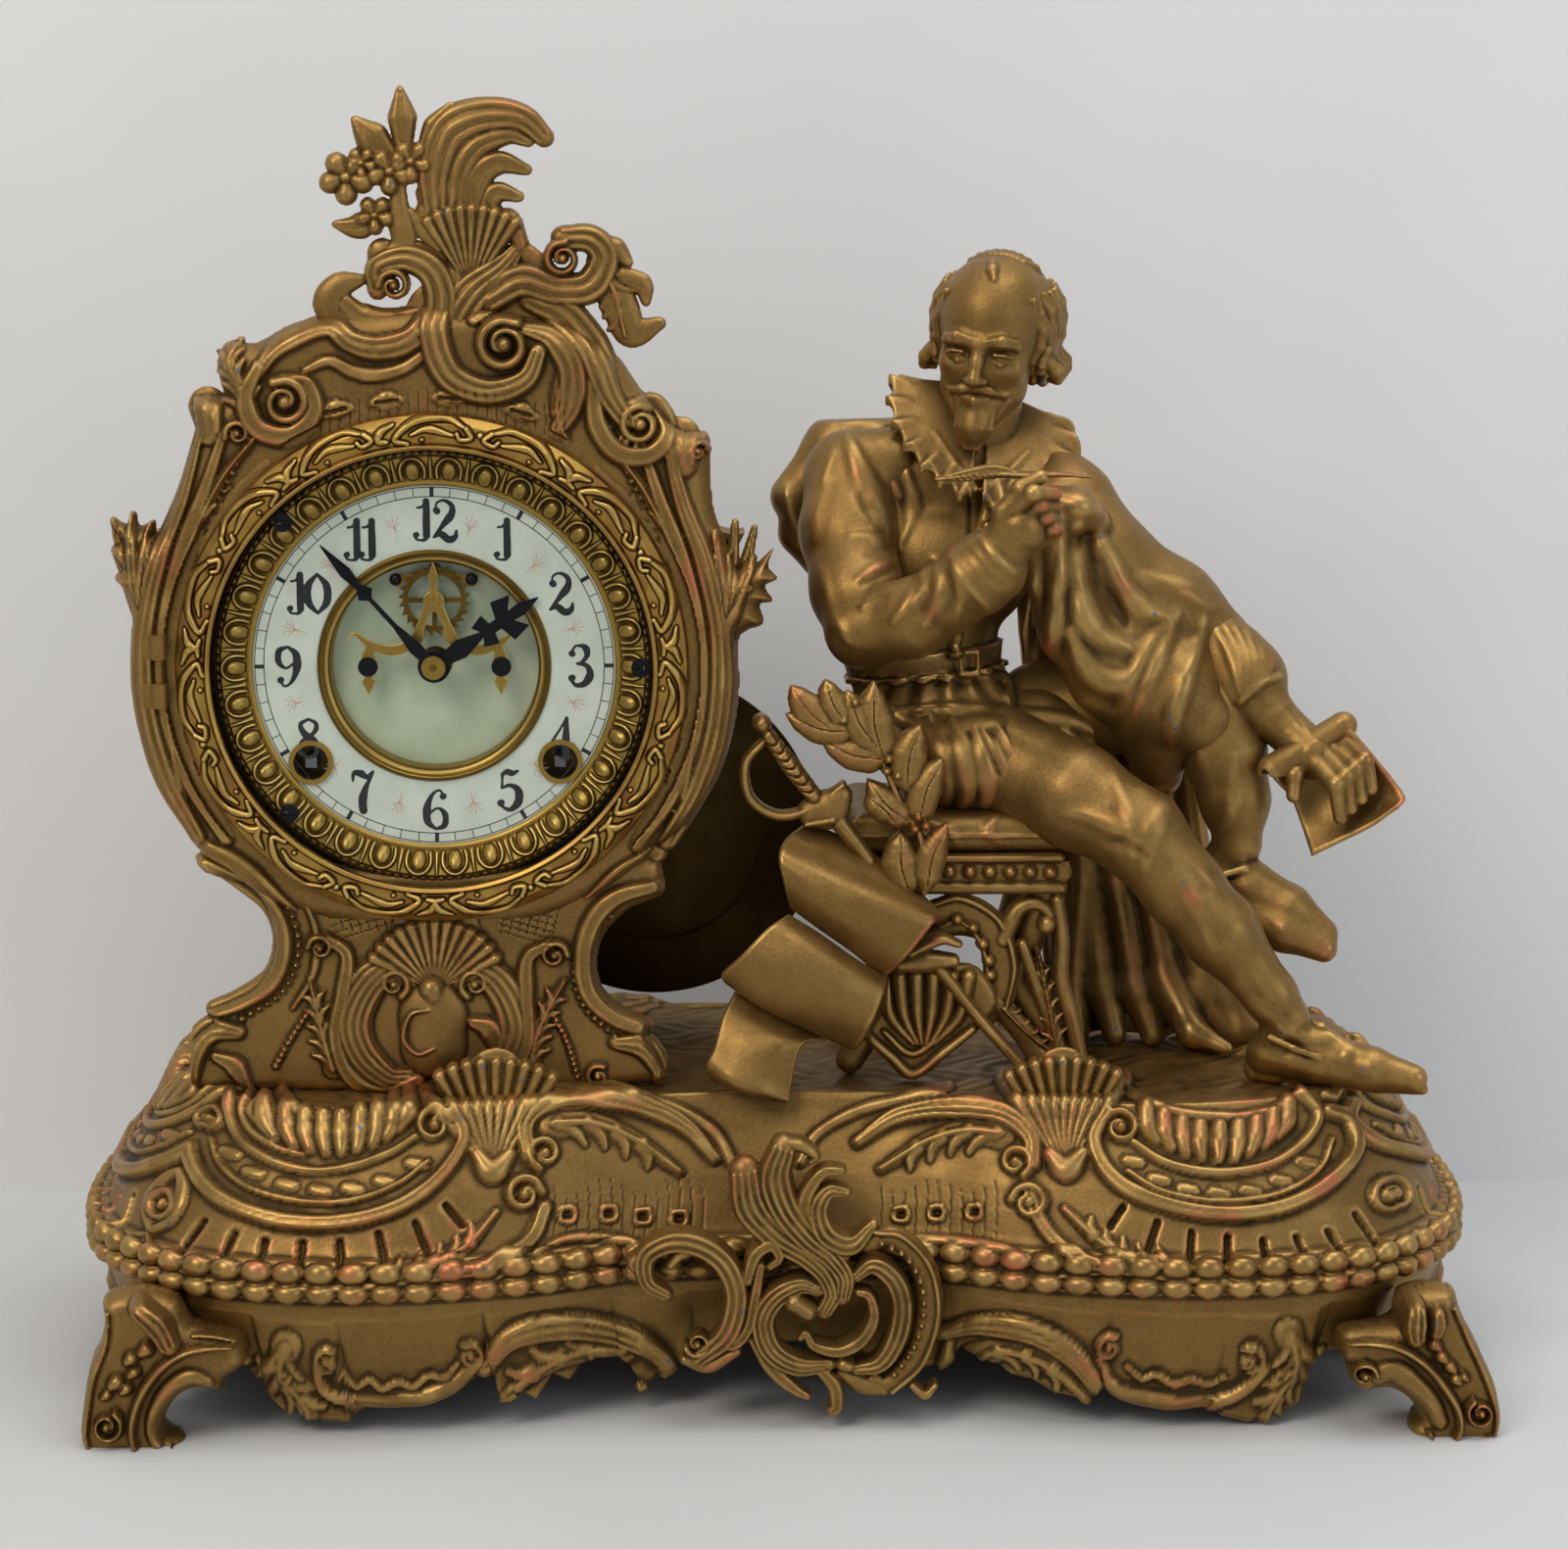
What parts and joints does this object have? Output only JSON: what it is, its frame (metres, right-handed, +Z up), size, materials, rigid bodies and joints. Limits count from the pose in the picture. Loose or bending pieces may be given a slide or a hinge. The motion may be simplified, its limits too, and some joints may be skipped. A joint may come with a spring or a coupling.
{
  "type": "figural mantel clock",
  "caption": "Footed scroll-cast mantel clock with a seated man beside a glazed round dial, opening bezel, hands, visible escapement, pendulum and strike work.",
  "frame": {"origin": "middle of the footprint, at the level of the table", "axes": "+X to the right of the dial's viewer, +Y to the back, +Z up"},
  "size_m": [0.444, 0.216, 0.4033],
  "materials": {
    "bronzed_spelter": "bronze-gold painted cast spelter, rubbed to a coppery pink on the highs and dark in the recesses",
    "gilt_brass": "lacquered gilt brass, lightly tarnished",
    "clock_brass": "brushed brass, aged",
    "enamel": "glossy cream dial",
    "glass": "clear flat glass",
    "blued_steel": "blackened steel",
    "steel": "oiled steel"
  },
  "bodies": {
    "frame": {"back_plate": "clock_brass", "base_casting": "bronzed_spelter", "base_feet": "bronzed_spelter", "bezel_hinge": "bronzed_spelter", "case_back": "bronzed_spelter", "case_front": "bronzed_spelter", "case_stand": "bronzed_spelter", "crest_scrolls": "bronzed_spelter", "crest_spray": "bronzed_spelter", "dial_inner_ring": "gilt_brass", "dial_pan": "clock_brass", "dial_ring": "enamel", "dial_sash": "gilt_brass", "escapement_bridge": "gilt_brass", "figure_cloak": "bronzed_spelter", "figure_head": "bronzed_spelter", "figure_left_arm": "bronzed_spelter", "figure_legs": "bronzed_spelter", "figure_right_arm": "bronzed_spelter", "figure_torso": "bronzed_spelter", "front_cartouche": "bronzed_spelter", "front_plate": "clock_brass", "gong": "steel", "held_page": "bronzed_spelter", "laurel_branch": "bronzed_spelter", "mainsprings": "blued_steel", "movement_can": "clock_brass", "movement_pillars": "clock_brass", "parchments": "bronzed_spelter", "quill_pen": "bronzed_spelter", "recess_plate": "enamel", "screws": "blued_steel", "stool_cushion": "bronzed_spelter", "stool_frame": "bronzed_spelter", "sword": "bronzed_spelter", "trophy_shield": "bronzed_spelter", "winding_grommets": "gilt_brass"},
    "bezel": {"bezel": "gilt_brass", "bezel_glass": "glass"},
    "rear_cover": {"rear_cover": "clock_brass"},
    "time_great_wheel": {"time_great_wheel": "clock_brass"},
    "time_winding_arbor": {"time_winding_arbor": "steel"},
    "second_wheel": {"second_wheel": "clock_brass"},
    "centre_arbor": {"centre_wheel": "clock_brass", "minute_hand": "blued_steel", "hand_nut": "gilt_brass"},
    "third_wheel": {"third_wheel": "clock_brass"},
    "escape_wheel": {"escape_wheel": "clock_brass"},
    "minute_wheel": {"minute_wheel": "clock_brass"},
    "hour_wheel": {"hour_wheel": "clock_brass", "hour_hand": "blued_steel"},
    "pallets": {"pallets": "gilt_brass"},
    "pendulum": {"pendulum": "clock_brass"},
    "strike_great_wheel": {"strike_great_wheel": "clock_brass"},
    "strike_winding_arbor": {"strike_winding_arbor": "steel"},
    "strike_second_wheel": {"strike_second_wheel": "clock_brass"},
    "strike_pin_wheel": {"strike_pin_wheel": "clock_brass"},
    "fly": {"fly": "clock_brass"},
    "hammer": {"hammer": "steel"},
    "regulator": {"regulator_arbor": "blued_steel"}
  },
  "joints": [
    {"name": "bezel_hinge", "type": "hinge", "parent": "frame", "child": "bezel", "pos_m": [-0.18564, -0.05716, 0.227], "axis": [0, 0, 1], "range_deg": [-115, 0]},
    {"name": "rear_cover_pivot", "type": "hinge", "parent": "frame", "child": "rear_cover", "pos_m": [-0.03895, 0.047, 0.2226], "axis": [0, 1, 0], "range_deg": [0, 93.87]},
    {"name": "time_great_turn", "type": "hinge", "parent": "frame", "child": "time_great_wheel", "pos_m": [-0.0662, 0, 0.1976], "axis": [0, 1, 0], "continuous": true},
    {"name": "time_winding", "type": "hinge", "parent": "frame", "child": "time_winding_arbor", "pos_m": [-0.0662, 0, 0.1976], "axis": [0, 1, 0], "continuous": true},
    {"name": "second_turn", "type": "hinge", "parent": "frame", "child": "second_wheel", "pos_m": [-0.08125, 0, 0.21725], "axis": [0, 1, 0], "continuous": true},
    {"name": "centre_turn", "type": "hinge", "parent": "frame", "child": "centre_arbor", "pos_m": [-0.104, 0, 0.227], "axis": [0, 1, 0], "continuous": true},
    {"name": "third_turn", "type": "hinge", "parent": "frame", "child": "third_wheel", "pos_m": [-0.08951, 0, 0.23801], "axis": [0, 1, 0], "continuous": true},
    {"name": "escape_turn", "type": "hinge", "parent": "frame", "child": "escape_wheel", "pos_m": [-0.104, 0, 0.2465], "axis": [0, 1, 0], "continuous": true},
    {"name": "minute_wheel_turn", "type": "hinge", "parent": "frame", "child": "minute_wheel", "pos_m": [-0.1112, 0, 0.2174], "axis": [0, 1, 0], "continuous": true},
    {"name": "hour_turn", "type": "hinge", "parent": "frame", "child": "hour_wheel", "pos_m": [-0.104, 0, 0.227], "axis": [0, 1, 0], "continuous": true},
    {"name": "pallet_rock", "type": "hinge", "parent": "frame", "child": "pallets", "pos_m": [-0.104, 0, 0.2556], "axis": [0, 1, 0], "range_deg": [-1.2, 1.2]},
    {"name": "pendulum_swing", "type": "hinge", "parent": "frame", "child": "pendulum", "pos_m": [-0.104, 0, 0.2616], "axis": [0, 1, 0], "range_deg": [-5, 5]},
    {"name": "strike_great_turn", "type": "hinge", "parent": "frame", "child": "strike_great_wheel", "pos_m": [-0.1418, 0, 0.1976], "axis": [0, 1, 0], "continuous": true},
    {"name": "strike_winding", "type": "hinge", "parent": "frame", "child": "strike_winding_arbor", "pos_m": [-0.1418, 0, 0.1976], "axis": [0, 1, 0], "continuous": true},
    {"name": "strike_second_turn", "type": "hinge", "parent": "frame", "child": "strike_second_wheel", "pos_m": [-0.12675, 0, 0.21725], "axis": [0, 1, 0], "continuous": true},
    {"name": "strike_pin_turn", "type": "hinge", "parent": "frame", "child": "strike_pin_wheel", "pos_m": [-0.13049, 0, 0.23892], "axis": [0, 1, 0], "continuous": true},
    {"name": "fly_turn", "type": "hinge", "parent": "frame", "child": "fly", "pos_m": [-0.12611, 0, 0.25095], "axis": [0, 1, 0], "continuous": true},
    {"name": "hammer_swing", "type": "hinge", "parent": "frame", "child": "hammer", "pos_m": [-0.14, 0, 0.22028], "axis": [0, 1, 0], "range_deg": [-14, 0]},
    {"name": "regulator_turn", "type": "hinge", "parent": "frame", "child": "regulator", "pos_m": [-0.104, 0, 0.2865], "axis": [0, 1, 0], "range_deg": [-170, 170]}
  ],
  "couplings": [
    {"joint": "second_turn", "follows": "centre_turn", "ratio": -0.25},
    {"joint": "time_great_turn", "follows": "centre_turn", "ratio": 0.0625},
    {"joint": "third_turn", "follows": "centre_turn", "ratio": -12},
    {"joint": "escape_turn", "follows": "centre_turn", "ratio": 132},
    {"joint": "minute_wheel_turn", "follows": "centre_turn", "ratio": -0.33333},
    {"joint": "hour_turn", "follows": "centre_turn", "ratio": 0.083333},
    {"joint": "strike_great_turn", "follows": "strike_second_turn", "ratio": -0.25},
    {"joint": "strike_pin_turn", "follows": "strike_second_turn", "ratio": -9},
    {"joint": "fly_turn", "follows": "strike_second_turn", "ratio": 63},
    {"joint": "pallet_rock", "follows": "pendulum_swing", "ratio": 0.24}
  ]
}
